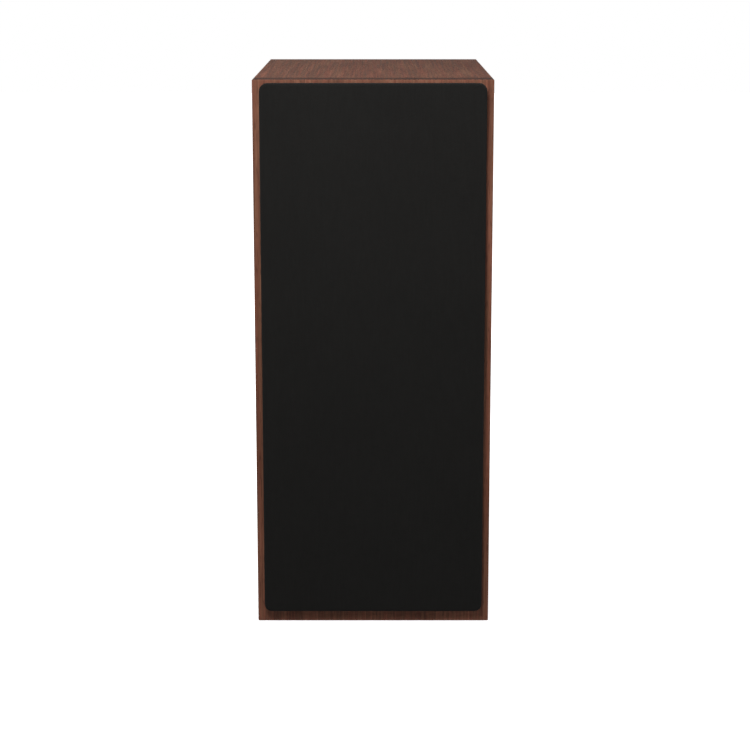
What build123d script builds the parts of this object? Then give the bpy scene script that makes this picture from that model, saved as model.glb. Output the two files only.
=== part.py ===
from build123d import *
import os
from math import asin, cos, degrees, radians, sin

os.makedirs("parts", exist_ok=True)

# Two-way bookshelf loudspeaker: a tall, narrow wooden cabinet with a dome tweeter between two
# woofers, a cloth grille held by magnets, a rear port and a pair of binding posts.
# Millimetres, +Z up. The front faces -Y. The origin is the middle of the cabinet's underside.

# ---- Cabinet ----
cabinet_width = 190.0
cabinet_height = 444.0
cabinet_depth = 290.0
panel_thickness = 15.0
baffle_thickness = 22.0
rear_thickness = 15.0
corner_round = 0.9
edge_round = 0.6
glue_gap = 0.05

half_width = cabinet_width / 2
inner_half_width = half_width - panel_thickness
front_y = -cabinet_depth / 2
back_y = cabinet_depth / 2
baffle_back_y = front_y + baffle_thickness
rear_inner_y = back_y - rear_thickness

# ---- Grille ----
grille_side_margin = 5.9
grille_top_margin = 2.6
grille_base_margin = 10.8
grille_corner = 6.0
grille_gap = 0.3
frame_thickness = 8.0
frame_bar = 12.0
cloth_thickness = 0.8
grille_magnet_radius = 4.0
grille_magnet_thickness = 3.0
magnet_cover = 2.0
magnet_clearance = 0.1

grille_width = cabinet_width - 2 * grille_side_margin
grille_height = cabinet_height - grille_top_margin - grille_base_margin
grille_z = grille_base_margin + grille_height / 2
frame_width = grille_width - 2 * cloth_thickness
frame_height = grille_height - 2 * cloth_thickness
frame_back_y = front_y - grille_gap
frame_front_y = frame_back_y - frame_thickness

# ---- Drivers, common ----
gasket_thickness = 1.0
rim_clearance = 0.5
driver_gap = 3.5
screws_per_driver = 4
lead_radius = 1.2

# ---- Screws: countersunk, the same size everywhere ----
screw_head_radius = 4.0
screw_shank_radius = 2.0
screw_length = 16.0
screw_tip = 2.0
screw_socket_radius = 1.5
screw_socket_depth = 1.5
screw_clearance = 0.15
pilot_clearance = 0.1
screw_head_height = screw_head_radius - screw_shank_radius
screw_hole_radius = screw_shank_radius + screw_clearance
pilot_radius = screw_shank_radius + pilot_clearance

# ---- Woofers ----
woofer_radius = 69.0
woofer_flange = 5.0
woofer_rim_width = 9.0
surround_glue_width = 4.0
surround_roll_width = 8.5
surround_skin = 0.8
ledge_depth = 1.6
cone_lip_width = 3.8
cone_depth = 19.0
cone_skin = 1.0
dust_cap_radius = 18.0
dust_cap_height = 6.0
dust_cap_skin = 0.8
former_inner_radius = 12.7
former_skin = 0.5
winding_skin = 0.9
winding_length = 14.0
basket_wall = 2.5
spider_ledge_depth = 35.0
spider_ledge_radius = 36.0
spider_skin = 0.8
spider_fold = 1.5
spider_folds = 10
basket_back_depth = 50.0
basket_back_plate = 3.0
basket_back_radius = 34.0
basket_cup_radius = 31.0
spoke_width = 13.0
woofer_top_plate_radius = 36.0
woofer_top_plate_thickness = 6.0
woofer_magnet_radius = 42.0
woofer_magnet_hole_radius = 22.0
woofer_magnet_thickness = 14.0
woofer_pole_radius = 12.0
woofer_vent_radius = 4.0
woofer_back_plate_thickness = 6.0
coil_gap = 0.7

surround_flange_radius = woofer_radius - woofer_rim_width
surround_outer_radius = surround_flange_radius - surround_glue_width
surround_inner_radius = surround_outer_radius - surround_roll_width

# ---- Tweeter ----
tweeter_radius = 48.0
tweeter_flange = 4.0
flare_radius = 32.0
flare_throat_radius = 16.4
flare_depth = 2.4
suspension_flange_radius = 19.6
suspension_roll_radius = 1.7
suspension_skin = 0.5
dome_radius = 12.45
dome_height = 5.5
dome_skin = 0.4
tweeter_former_skin = 0.3
tweeter_winding_skin = 0.55
tweeter_coil_gap = 0.55
tweeter_motor_radius = 36.0
tweeter_top_plate_thickness = 3.0
tweeter_magnet_hole_radius = 18.0
tweeter_magnet_thickness = 8.0
tweeter_back_plate_radius = 34.0
tweeter_back_plate_thickness = 4.0
tweeter_vent_radius = 5.0
chamber_radius = 22.0
chamber_wall = 1.5
chamber_length = 20.0

# ---- Port ----
port_inner_radius = 22.0
port_wall = 2.5
port_length = 120.0
port_flare = 10.0
port_flange_radius = 38.0
port_flange_thickness = 3.0
port_collar_wall = 8.0
port_top_distance = 82.0
port_clearance = 0.3

# ---- Terminals ----
terminal_height = 95.0
cup_width = 96.0
cup_height = 76.0
cup_corner = 8.0
cup_flange = 2.5
recess_width = 76.0
recess_height = 50.0
recess_corner = 6.0
recess_depth = 18.0
cup_wall = 2.0
cup_floor = 3.0
cup_clearance = 0.5
terminal_gasket_thickness = 1.0
post_spacing = 19.05
stud_radius = 3.0
stud_base_radius = 6.5
stud_base_thickness = 2.5
stud_tail = 18.0
socket_radius = 2.0
socket_depth = 18.0
collar_radius = 6.5
collar_thickness = 1.5
knob_radius = 7.6
knob_length = 13.0
knob_flutes = 14
flute_radius = 0.9
travel_gap = 0.3
thread_clearance = 0.08
nut_across_corners_radius = 5.6
nut_thickness = 5.0

# ---- Crossover ----
board_width = 120.0
board_length = 116.0
board_thickness = 1.6
support_height = 8.0
support_radius = 4.0
support_stem_radius = 1.8
support_head_radius = 3.2
support_head_height = 1.5
support_inset = 7.0
board_gap_to_rear = 32.0
coil_outer_radius = 17.0
coil_inner_radius = 8.0
coil_height = 16.0
capacitor_radius = 8.0
capacitor_length = 38.0
resistor_side = 9.0
resistor_length = 30.0
part_seat_gap = 0.1

# ---- Damping and brace ----
pad_thickness = 10.0
pad_gap = 6.0
pad_front_gap = 10.0
brace_thickness = 12.0
brace_rail = 20.0
brace_side_rail = 25.0
brace_window_corner = 10.0
brace_drop_below_upper_woofer = 22.0

# ---- Tags and leads ----
lead_magnet_gap = 0.75
tag_strip_width = 24.0
tag_strip_length = 6.0
tag_thickness = 0.8
tag_width = 5.0
tag_length = 15.0
tag_setback = 1.0
tag_pitch = 12.0
lead_seat_gap = 0.1
lead_bend_share = 0.7
lead_half_spacing = 4.0
woofer_lead_y = -46.0
tweeter_lead_y = -34.0
input_lead_inset = 14.0

# ---- Places worked out from the sizes above ----
tweeter_z = grille_z
woofer_offset = tweeter_radius + driver_gap + woofer_radius
woofer_z = {"upper": tweeter_z + woofer_offset, "lower": tweeter_z - woofer_offset}
port_z = cabinet_height - port_top_distance
cup_outer_y = back_y + terminal_gasket_thickness + cup_flange
cup_floor_y = cup_outer_y - recess_depth
brace_z = woofer_z["upper"] - woofer_magnet_radius - brace_drop_below_upper_woofer
woofer_depth = (
    basket_back_depth
    + woofer_top_plate_thickness
    + woofer_magnet_thickness
    + woofer_back_plate_thickness
)
motor_back_y = front_y + woofer_depth
flange_screw_circle = (surround_flange_radius + woofer_radius) / 2
tweeter_screw_circle = (tweeter_motor_radius + tweeter_radius) / 2 + 0.5


def front_plane(z, y=front_y):
    """Drawing plane facing the listener, with its origin on a driver's axis."""
    return Plane(origin=(0, y, z), x_dir=(1, 0, 0), z_dir=(0, -1, 0))


def rear_plane(z, y=back_y):
    """Drawing plane facing backwards, with its origin at height z."""
    return Plane(origin=(0, y, z), x_dir=(-1, 0, 0), z_dir=(0, 1, 0))


def section_plane(z, y=front_y):
    """Half-section plane: first coordinate is depth behind y, second is radius about height z."""
    return Plane(origin=(0, y, z), x_dir=(0, 1, 0), z_dir=(1, 0, 0))


def centre_axis(z, x=0.0):
    """Front-to-back axis at height z."""
    return Axis((x, 0, z), (0, 1, 0))


def write(piece, label):
    """Name a finished piece and write it out."""
    piece.part.label = label
    export_step(piece.part, f"parts/{label}.step")


def half_section(outline, z, y=front_y):
    """The half section of a round piece, from its (depth, radius) points."""
    with BuildSketch(section_plane(z, y)) as half:
        with BuildLine():
            Polyline(*outline, close=True)
        make_face()
    return half.sketch


def turned(outline, z):
    """A round piece turned from its half section of (depth, radius) points."""
    with BuildPart() as piece:
        revolve(half_section(outline, z), axis=centre_axis(z))
    return piece


def dome(radius, height, skin, rim_depth, z):
    """A thin spherical cap, its rim at rim_depth and its crown towards the front."""
    sphere = (radius**2 + height**2) / (2 * height)
    centre = (rim_depth - height + sphere, 0)
    outer_angle = degrees(asin(radius / sphere))
    inner_radius = ((sphere - skin) ** 2 - (sphere - height) ** 2) ** 0.5
    inner_angle = degrees(asin(inner_radius / (sphere - skin)))
    with BuildPart() as piece:
        with BuildSketch(section_plane(z)):
            with BuildLine():
                outer = CenterArc(centre, sphere, 180, -outer_angle)
                inner = CenterArc(centre, sphere - skin, 180, -inner_angle)
                Line(outer @ 1, inner @ 1)
                Line(outer @ 0, inner @ 0)
            make_face()
        revolve(axis=centre_axis(z))
    return piece


def half_roll(inner_edge, outer_edge, flange_in, flange_out, skin, seat_depth, z):
    """A half-round flexible ring bulging forwards, with flat glue flanges at seat_depth."""
    middle = (inner_edge + outer_edge) / 2
    outer_roll = (outer_edge - inner_edge) / 2
    inner_roll = outer_roll - skin
    with BuildPart() as piece:
        with BuildSketch(section_plane(z)):
            with BuildLine():
                front = CenterArc((seat_depth, middle), outer_roll, 90, 180)
                back = CenterArc((seat_depth, middle), inner_roll, 90, 180)
                Line(front @ 0, back @ 0)
                Line(front @ 1, back @ 1)
            make_face()
            with BuildLine():
                Polyline(
                    (seat_depth - skin, middle + inner_roll),
                    (seat_depth - skin, flange_out),
                    (seat_depth, flange_out),
                    (seat_depth, middle + inner_roll),
                    close=True,
                )
            make_face()
            with BuildLine():
                Polyline(
                    (seat_depth - skin, flange_in),
                    (seat_depth - skin, middle - inner_roll),
                    (seat_depth, middle - inner_roll),
                    (seat_depth, flange_in),
                    close=True,
                )
            make_face()
        revolve(axis=centre_axis(z))
    return piece


# ---- Cabinet: front baffle over a mitred box, the rear panel set in between the sides ----
woofer_rebate_radius = woofer_radius + rim_clearance
woofer_hole_radius = surround_flange_radius + 2 * rim_clearance
woofer_rebate_depth = woofer_flange + gasket_thickness
tweeter_rebate_radius = tweeter_radius + rim_clearance
tweeter_hole_radius = tweeter_motor_radius + 2 * rim_clearance
tweeter_rebate_depth = tweeter_flange + gasket_thickness
pilot_depth = screw_length + rim_clearance
grille_magnet_x = frame_width / 2 - frame_bar / 2
grille_magnet_rise = frame_height / 2 - frame_bar

driver_cutouts = [
    (woofer_z["upper"], woofer_rebate_radius, woofer_rebate_depth, woofer_hole_radius, flange_screw_circle),
    (tweeter_z, tweeter_rebate_radius, tweeter_rebate_depth, tweeter_hole_radius, tweeter_screw_circle),
    (woofer_z["lower"], woofer_rebate_radius, woofer_rebate_depth, woofer_hole_radius, flange_screw_circle),
]

with BuildPart() as front_baffle:
    with BuildSketch(front_plane(cabinet_height / 2)):
        RectangleRounded(cabinet_width, cabinet_height, corner_round)
    extrude(amount=-baffle_thickness)
    fillet(front_baffle.faces().sort_by(Axis.Y)[0].edges(), edge_round)
    for driver_z, rebate_radius, rebate_depth, hole_radius, screw_circle in driver_cutouts:
        with BuildSketch(front_plane(driver_z)):
            Circle(rebate_radius)
        extrude(amount=-rebate_depth, mode=Mode.SUBTRACT)
        with BuildSketch(front_plane(driver_z)):
            Circle(hole_radius)
        extrude(amount=-baffle_thickness, mode=Mode.SUBTRACT)
        with BuildSketch(front_plane(driver_z)):
            with PolarLocations(screw_circle, screws_per_driver, start_angle=45):
                Circle(pilot_radius)
        extrude(amount=-pilot_depth, mode=Mode.SUBTRACT)
    with BuildSketch(front_plane(grille_z, front_y + magnet_cover)):
        with GridLocations(2 * grille_magnet_x, grille_magnet_rise, 2, 3):
            Circle(grille_magnet_radius + magnet_clearance)
    extrude(amount=-(baffle_thickness - magnet_cover), mode=Mode.SUBTRACT)
write(front_baffle, "front_baffle")

box_outer = [
    (-half_width, 0),
    (half_width, 0),
    (half_width, cabinet_height),
    (-half_width, cabinet_height),
]
box_inner = [
    (-inner_half_width, panel_thickness),
    (inner_half_width, panel_thickness),
    (inner_half_width, cabinet_height - panel_thickness),
    (-inner_half_width, cabinet_height - panel_thickness),
]
panel_names = ["bottom_panel", "right_side_panel", "top_panel", "left_side_panel"]
for index, panel_name in enumerate(panel_names):
    following = (index + 1) % len(panel_names)
    with BuildPart() as mitred_panel:
        with BuildSketch(front_plane(0, baffle_back_y)):
            with BuildLine():
                Polyline(
                    box_outer[index],
                    box_outer[following],
                    box_inner[following],
                    box_inner[index],
                    close=True,
                )
            make_face()
            with Locations((0, cabinet_height / 2)):
                RectangleRounded(cabinet_width, cabinet_height, corner_round, mode=Mode.INTERSECT)
        extrude(amount=-(back_y - baffle_back_y))
    write(mitred_panel, panel_name)

port_collar_radius = port_inner_radius + port_collar_wall
cup_body_width = recess_width + 2 * cup_wall
cup_body_height = recess_height + 2 * cup_wall
cup_screw_x = cup_width / 2 - screw_head_radius - 1.5
cup_screw_z = cup_height / 2 - screw_head_radius - 2.0

with BuildPart() as rear_panel:
    with BuildSketch(rear_plane(cabinet_height / 2)):
        Rectangle(2 * inner_half_width, cabinet_height - 2 * panel_thickness)
    extrude(amount=-rear_thickness)
    with BuildSketch(rear_plane(port_z)):
        Circle(port_collar_radius + port_clearance)
    extrude(amount=-rear_thickness, mode=Mode.SUBTRACT)
    with BuildSketch(rear_plane(terminal_height)):
        RectangleRounded(
            cup_body_width + 2 * cup_clearance,
            cup_body_height + 2 * cup_clearance,
            recess_corner + cup_wall + cup_clearance,
        )
    extrude(amount=-rear_thickness, mode=Mode.SUBTRACT)
    with BuildSketch(rear_plane(terminal_height)):
        with GridLocations(2 * cup_screw_x, 2 * cup_screw_z, 2, 2):
            Circle(pilot_radius)
    extrude(amount=-(rear_thickness - 1), mode=Mode.SUBTRACT)
write(rear_panel, "rear_panel")

# Shelf brace behind the drivers, glued between the sides and the rear panel.
brace_front_y = motor_back_y + pad_front_gap
brace_depth = rear_inner_y - brace_front_y
brace_window_width = 2 * (inner_half_width - brace_side_rail)
brace_window_depth = brace_depth - 2 * brace_rail
with BuildPart() as window_brace:
    with BuildSketch(Plane((0, brace_front_y + brace_depth / 2, brace_z - brace_thickness / 2))):
        Rectangle(2 * inner_half_width, brace_depth)
        RectangleRounded(brace_window_width, brace_window_depth, brace_window_corner, mode=Mode.SUBTRACT)
    extrude(amount=brace_thickness)
write(window_brace, "window_brace")

# Felt pads glued on the side walls, above and below the brace.
pad_length = rear_inner_y - brace_front_y - pad_gap
brace_top = brace_z + brace_thickness / 2
brace_under = brace_z - brace_thickness / 2
pad_spans = [
    (brace_top + pad_gap, cabinet_height - panel_thickness - pad_gap),
    (panel_thickness + support_height + board_thickness + 2 * pad_gap, brace_under - pad_gap),
]
with BuildPart() as damping_pads:
    for pad_low, pad_high in pad_spans:
        with BuildSketch(Plane((0, brace_front_y + pad_length / 2, pad_low))):
            with GridLocations(2 * inner_half_width - pad_thickness, 0, 2, 1):
                Rectangle(pad_thickness, pad_length)
        extrude(amount=pad_high - pad_low)
write(damping_pads, "damping_pads")

# ---- Woofers: two alike, above and below the tweeter ----
motor_top = basket_back_depth + woofer_top_plate_thickness
magnet_back = motor_top + woofer_magnet_thickness
former_outer_radius = former_inner_radius + former_skin
winding_radius = former_outer_radius + winding_skin
coil_middle = basket_back_depth + woofer_top_plate_thickness / 2
trim_inner_radius = surround_flange_radius + travel_gap
neck_radius = former_outer_radius + glue_gap
cone_back = ledge_depth + cone_depth
lip_radius = surround_inner_radius - surround_skin
lip_inner_radius = lip_radius - cone_lip_width
cone_slope = cone_depth / (lip_inner_radius - neck_radius)
cap_rim_depth = ledge_depth + (lip_inner_radius - dust_cap_radius) * cone_slope - 2 * glue_gap
window_front = woofer_flange + basket_wall
window_back = spider_ledge_depth - 2 * basket_wall
basket_rear_radius = spider_ledge_radius + basket_wall

for position, driver_z in woofer_z.items():
    basket_outline = [
        (0, trim_inner_radius),
        (0, woofer_radius),
        (woofer_flange, woofer_radius),
        (woofer_flange, surround_flange_radius + rim_clearance),
        (spider_ledge_depth - basket_wall, basket_rear_radius),
        (spider_ledge_depth + basket_wall, basket_rear_radius),
        (spider_ledge_depth + basket_wall, basket_back_radius),
        (basket_back_depth, basket_back_radius),
        (basket_back_depth, woofer_magnet_hole_radius),
        (basket_back_depth - basket_back_plate, woofer_magnet_hole_radius),
        (basket_back_depth - basket_back_plate, basket_cup_radius),
        (spider_ledge_depth, basket_cup_radius),
        (spider_ledge_depth, spider_ledge_radius + travel_gap),
        (spider_ledge_depth - basket_wall, spider_ledge_radius + travel_gap),
        (woofer_flange, surround_outer_radius + rim_clearance),
        (ledge_depth, surround_outer_radius),
        (ledge_depth, trim_inner_radius),
    ]
    with BuildPart() as basket:
        revolve(half_section(basket_outline, driver_z), axis=centre_axis(driver_z))
        with BuildSketch(front_plane(driver_z, front_y + window_front)):
            Circle(woofer_radius)
            for spoke_angle in (0, 60, 120):
                Rectangle(spoke_width, 2 * woofer_radius, rotation=spoke_angle, mode=Mode.SUBTRACT)
        extrude(amount=-(window_back - window_front), mode=Mode.SUBTRACT)
        with Locations(front_plane(driver_z)):
            with PolarLocations(flange_screw_circle, screws_per_driver, start_angle=45):
                CounterSinkHole(
                    screw_hole_radius,
                    screw_head_radius + screw_clearance,
                    woofer_flange + 1,
                    90,
                )
    write(basket, f"{position}_woofer_basket")

    surround = half_roll(
        surround_inner_radius,
        surround_outer_radius,
        lip_inner_radius,
        surround_flange_radius,
        surround_skin,
        ledge_depth,
        driver_z,
    )
    write(surround, f"{position}_woofer_surround")

    cone = turned(
        [
            (ledge_depth, lip_radius),
            (ledge_depth, lip_inner_radius),
            (cone_back, neck_radius),
            (cone_back + cone_skin, neck_radius),
            (ledge_depth + cone_skin, lip_inner_radius + cone_skin / cone_slope / 2),
            (ledge_depth + cone_skin, lip_radius),
        ],
        driver_z,
    )
    write(cone, f"{position}_woofer_cone")

    dust_cap = dome(dust_cap_radius, dust_cap_height, dust_cap_skin, cap_rim_depth, driver_z)
    write(dust_cap, f"{position}_woofer_dust_cap")

    coil_back = coil_middle + winding_length / 2
    voice_coil = turned(
        [
            (cone_back - 2 * cone_skin, former_inner_radius),
            (coil_back, former_inner_radius),
            (coil_back, winding_radius),
            (coil_back - winding_length, winding_radius),
            (coil_back - winding_length, former_outer_radius),
            (cone_back - 2 * cone_skin, former_outer_radius),
        ],
        driver_z,
    )
    write(voice_coil, f"{position}_woofer_voice_coil")

    # The spider is a folded cloth disc between the former and the basket's ledge.
    fold_start = neck_radius + 2 * spider_fold
    fold_end = basket_cup_radius - spider_fold
    fold_step = (fold_end - fold_start) / spider_folds
    spider_front = [(spider_ledge_depth - spider_skin, neck_radius)]
    for fold in range(spider_folds + 1):
        crest = spider_fold if fold % 2 else 0.0
        spider_front.append((spider_ledge_depth - spider_skin - crest, fold_start + fold * fold_step))
    spider_front.append((spider_ledge_depth - spider_skin, spider_ledge_radius))
    spider_back = [(depth + spider_skin, radius) for depth, radius in reversed(spider_front)]
    spider = turned(spider_front + spider_back, driver_z)
    write(spider, f"{position}_woofer_spider")

    top_plate = turned(
        [
            (basket_back_depth, winding_radius + coil_gap),
            (basket_back_depth, woofer_top_plate_radius),
            (motor_top, woofer_top_plate_radius),
            (motor_top, winding_radius + coil_gap),
        ],
        driver_z,
    )
    write(top_plate, f"{position}_woofer_top_plate")

    magnet = turned(
        [
            (motor_top, woofer_magnet_hole_radius),
            (motor_top, woofer_magnet_radius),
            (magnet_back, woofer_magnet_radius),
            (magnet_back, woofer_magnet_hole_radius),
        ],
        driver_z,
    )
    write(magnet, f"{position}_woofer_magnet")

    yoke = turned(
        [
            (basket_back_depth - 1, woofer_vent_radius),
            (basket_back_depth - 1, woofer_pole_radius),
            (magnet_back, woofer_pole_radius),
            (magnet_back, woofer_top_plate_radius),
            (woofer_depth, woofer_top_plate_radius),
            (woofer_depth, woofer_vent_radius),
        ],
        driver_z,
    )
    write(yoke, f"{position}_woofer_yoke")

# ---- Tweeter ----
dome_seat = tweeter_flange - suspension_skin / 5
roll_middle = dome_radius + glue_gap + suspension_roll_radius
suspension_outer_edge = roll_middle + suspension_roll_radius
flange_recess_radius = suspension_flange_radius + travel_gap
former_out = dome_radius - dome_skin / 2
former_in = former_out - tweeter_former_skin
winding_out = former_out + tweeter_winding_skin
plate_back = tweeter_flange + tweeter_top_plate_thickness
tweeter_magnet_back = plate_back + tweeter_magnet_thickness
tweeter_depth = tweeter_magnet_back + tweeter_back_plate_thickness
coil_start = tweeter_flange + glue_gap

faceplate_outline = [
    (0, flare_radius),
    (0, tweeter_radius),
    (tweeter_flange, tweeter_radius),
    (tweeter_flange, flange_recess_radius),
    (tweeter_flange - suspension_skin - travel_gap, flange_recess_radius),
    (tweeter_flange - suspension_skin - travel_gap, flare_throat_radius),
    (flare_depth, flare_throat_radius),
]
with BuildPart() as tweeter_faceplate:
    revolve(half_section(faceplate_outline, tweeter_z), axis=centre_axis(tweeter_z))
    with Locations(front_plane(tweeter_z)):
        with PolarLocations(tweeter_screw_circle, screws_per_driver, start_angle=45):
            CounterSinkHole(screw_hole_radius, screw_head_radius + screw_clearance, tweeter_flange + 1, 90)
write(tweeter_faceplate, "tweeter_faceplate")

tweeter_surround = half_roll(
    roll_middle - suspension_roll_radius,
    suspension_outer_edge,
    roll_middle - suspension_roll_radius,
    suspension_flange_radius,
    suspension_skin,
    dome_seat,
    tweeter_z,
)
write(tweeter_surround, "tweeter_surround")

tweeter_dome = dome(dome_radius, dome_height, dome_skin, dome_seat, tweeter_z)
write(tweeter_dome, "tweeter_dome")

tweeter_voice_coil = turned(
    [
        (coil_start, former_in),
        (plate_back + 1.5, former_in),
        (plate_back + 1.5, former_out),
        (plate_back, former_out),
        (plate_back, winding_out),
        (coil_start + 0.4, winding_out),
        (coil_start + 0.4, former_out),
        (coil_start, former_out),
    ],
    tweeter_z,
)
write(tweeter_voice_coil, "tweeter_voice_coil")

tweeter_top_plate = turned(
    [
        (tweeter_flange, winding_out + tweeter_coil_gap),
        (tweeter_flange, tweeter_motor_radius),
        (plate_back, tweeter_motor_radius),
        (plate_back, winding_out + tweeter_coil_gap),
    ],
    tweeter_z,
)
write(tweeter_top_plate, "tweeter_top_plate")

tweeter_magnet = turned(
    [
        (plate_back, tweeter_magnet_hole_radius),
        (plate_back, tweeter_motor_radius),
        (tweeter_magnet_back, tweeter_motor_radius),
        (tweeter_magnet_back, tweeter_magnet_hole_radius),
    ],
    tweeter_z,
)
write(tweeter_magnet, "tweeter_magnet")

tweeter_pole_radius = former_in - tweeter_coil_gap
tweeter_yoke = turned(
    [
        (tweeter_flange, tweeter_vent_radius),
        (tweeter_flange, tweeter_pole_radius),
        (tweeter_magnet_back, tweeter_pole_radius),
        (tweeter_magnet_back, tweeter_back_plate_radius),
        (tweeter_depth, tweeter_back_plate_radius),
        (tweeter_depth, tweeter_vent_radius),
    ],
    tweeter_z,
)
write(tweeter_yoke, "tweeter_yoke")

tweeter_rear_chamber = turned(
    [
        (tweeter_depth, chamber_radius - chamber_wall),
        (tweeter_depth, chamber_radius),
        (tweeter_depth + chamber_length, chamber_radius),
        (tweeter_depth + chamber_length, 0),
        (tweeter_depth + chamber_length - chamber_wall, 0),
        (tweeter_depth + chamber_length - chamber_wall, chamber_radius - chamber_wall),
    ],
    tweeter_z,
)
write(tweeter_rear_chamber, "tweeter_rear_chamber")

# ---- Gaskets between the drivers' flanges and their rebates ----
with BuildPart() as driver_gaskets:
    for driver_z, rebate_radius, rebate_depth, hole_radius, screw_circle in driver_cutouts:
        with BuildSketch(front_plane(driver_z, front_y + rebate_depth)):
            Circle(rebate_radius - 2 * rim_clearance)
            Circle(hole_radius + rim_clearance, mode=Mode.SUBTRACT)
            with PolarLocations(screw_circle, screws_per_driver, start_angle=45):
                Circle(screw_hole_radius, mode=Mode.SUBTRACT)
        extrude(amount=gasket_thickness)
write(driver_gaskets, "driver_gaskets")

# ---- Port: a flared tube through the rear panel ----
port_inner_y = back_y + port_flange_thickness - port_length
port_end = port_length
port_outer_radius = port_inner_radius + port_wall
collar_start = port_end - port_flange_thickness - rear_thickness - 2 * port_wall
with BuildPart() as port_tube:
    with BuildSketch(section_plane(port_z, port_inner_y)):
        with BuildLine():
            flare = CenterArc(
                (port_end - port_flare, port_inner_radius + port_flare), port_flare, 270, 90
            )
            Polyline(
                flare @ 1,
                (port_end, port_flange_radius),
                (port_end - port_flange_thickness, port_flange_radius),
                (port_end - port_flange_thickness, port_collar_radius),
                (collar_start, port_collar_radius),
                (collar_start - port_wall, port_outer_radius),
                (0, port_outer_radius),
                (0, port_inner_radius),
                flare @ 0,
            )
        make_face()
    revolve(axis=centre_axis(port_z))
write(port_tube, "port_tube")

# ---- Terminals ----
with BuildPart() as terminal_cup:
    with BuildSketch(rear_plane(terminal_height, cup_outer_y - cup_flange)):
        RectangleRounded(cup_width, cup_height, cup_corner)
    extrude(amount=cup_flange)
    with BuildSketch(rear_plane(terminal_height, cup_floor_y - cup_floor)):
        RectangleRounded(cup_body_width, cup_body_height, recess_corner + cup_wall)
    extrude(amount=recess_depth + cup_floor - cup_flange)
    with BuildSketch(rear_plane(terminal_height, cup_floor_y)):
        RectangleRounded(recess_width, recess_height, recess_corner)
    extrude(amount=recess_depth, mode=Mode.SUBTRACT)
    with BuildSketch(rear_plane(terminal_height, cup_floor_y)):
        with GridLocations(post_spacing, 0, 2, 1):
            Circle(stud_radius + screw_clearance)
    extrude(amount=-cup_floor, mode=Mode.SUBTRACT)
    with Locations(rear_plane(terminal_height, cup_outer_y)):
        with GridLocations(2 * cup_screw_x, 2 * cup_screw_z, 2, 2):
            CounterSinkHole(screw_hole_radius, screw_head_radius + screw_clearance, cup_flange + 1, 90)
write(terminal_cup, "terminal_cup")

with BuildPart() as terminal_gasket:
    with BuildSketch(rear_plane(terminal_height)):
        RectangleRounded(cup_width - 2, cup_height - 2, cup_corner - 1)
        RectangleRounded(
            cup_body_width + 2 * cup_clearance,
            cup_body_height + 2 * cup_clearance,
            recess_corner + cup_wall + cup_clearance,
            mode=Mode.SUBTRACT,
        )
        with GridLocations(2 * cup_screw_x, 2 * cup_screw_z, 2, 2):
            Circle(screw_hole_radius, mode=Mode.SUBTRACT)
    extrude(amount=terminal_gasket_thickness)
write(terminal_gasket, "terminal_gasket")

stud_base_y = cup_floor_y + stud_base_thickness
collar_y = stud_base_y + travel_gap
knob_y = collar_y + collar_thickness + travel_gap
knob_end_y = knob_y + knob_length
stud_end_y = knob_end_y - 0.8
stud_tail_y = cup_floor_y - stud_tail
with BuildPart() as terminal_posts:
    with BuildSketch(rear_plane(terminal_height, stud_tail_y)):
        with GridLocations(post_spacing, 0, 2, 1):
            Circle(stud_radius)
    extrude(amount=stud_end_y - stud_tail_y)
    with BuildSketch(rear_plane(terminal_height, cup_floor_y)):
        with GridLocations(post_spacing, 0, 2, 1):
            Circle(stud_base_radius)
    extrude(amount=stud_base_thickness)
    with BuildSketch(rear_plane(terminal_height, stud_end_y)):
        with GridLocations(post_spacing, 0, 2, 1):
            Circle(socket_radius)
    extrude(amount=-socket_depth, mode=Mode.SUBTRACT)
write(terminal_posts, "terminal_posts")

with BuildPart() as post_nuts:
    with BuildSketch(rear_plane(terminal_height, cup_floor_y - cup_floor)):
        with GridLocations(post_spacing, 0, 2, 1):
            RegularPolygon(nut_across_corners_radius, 6)
            Circle(stud_radius + thread_clearance, mode=Mode.SUBTRACT)
    extrude(amount=-nut_thickness)
write(post_nuts, "post_nuts")

# Seen from behind, the positive post is on the right, which is towards -X.
post_x = {"positive": -post_spacing / 2, "negative": post_spacing / 2}
for polarity, x in post_x.items():
    collar_plane = Plane(origin=(x, collar_y, terminal_height), x_dir=(-1, 0, 0), z_dir=(0, 1, 0))
    knob_plane = Plane(origin=(x, knob_y, terminal_height), x_dir=(-1, 0, 0), z_dir=(0, 1, 0))
    with BuildPart() as collar:
        with BuildSketch(collar_plane):
            Circle(collar_radius)
            Circle(stud_radius + thread_clearance, mode=Mode.SUBTRACT)
        extrude(amount=collar_thickness)
    write(collar, f"{polarity}_post_collar")
    with BuildPart() as knob:
        with BuildSketch(knob_plane):
            Circle(knob_radius)
            Circle(stud_radius + thread_clearance, mode=Mode.SUBTRACT)
            with PolarLocations(knob_radius + flute_radius / 3, knob_flutes):
                Circle(flute_radius, mode=Mode.SUBTRACT)
        extrude(amount=knob_length)
        chamfer(knob.faces().sort_by(Axis.Y)[-1].inner_wires()[0].edges(), 0.6)
    write(knob, f"{polarity}_post_knob")

# ---- Crossover board on snap-in supports ----
board_back_y = rear_inner_y - board_gap_to_rear
board_y = board_back_y - board_length / 2
board_under_z = panel_thickness + support_height
board_top_z = board_under_z + board_thickness
parts_z = board_top_z + part_seat_gap
support_grid = (board_width - 2 * support_inset, board_length - 2 * support_inset)
board_centre = Plane((0, board_y, board_under_z))

with BuildPart() as crossover_board:
    with BuildSketch(board_centre):
        Rectangle(board_width, board_length)
        with GridLocations(*support_grid, 2, 2):
            Circle(support_stem_radius + pilot_clearance, mode=Mode.SUBTRACT)
    extrude(amount=board_thickness)
write(crossover_board, "crossover_board")

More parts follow.
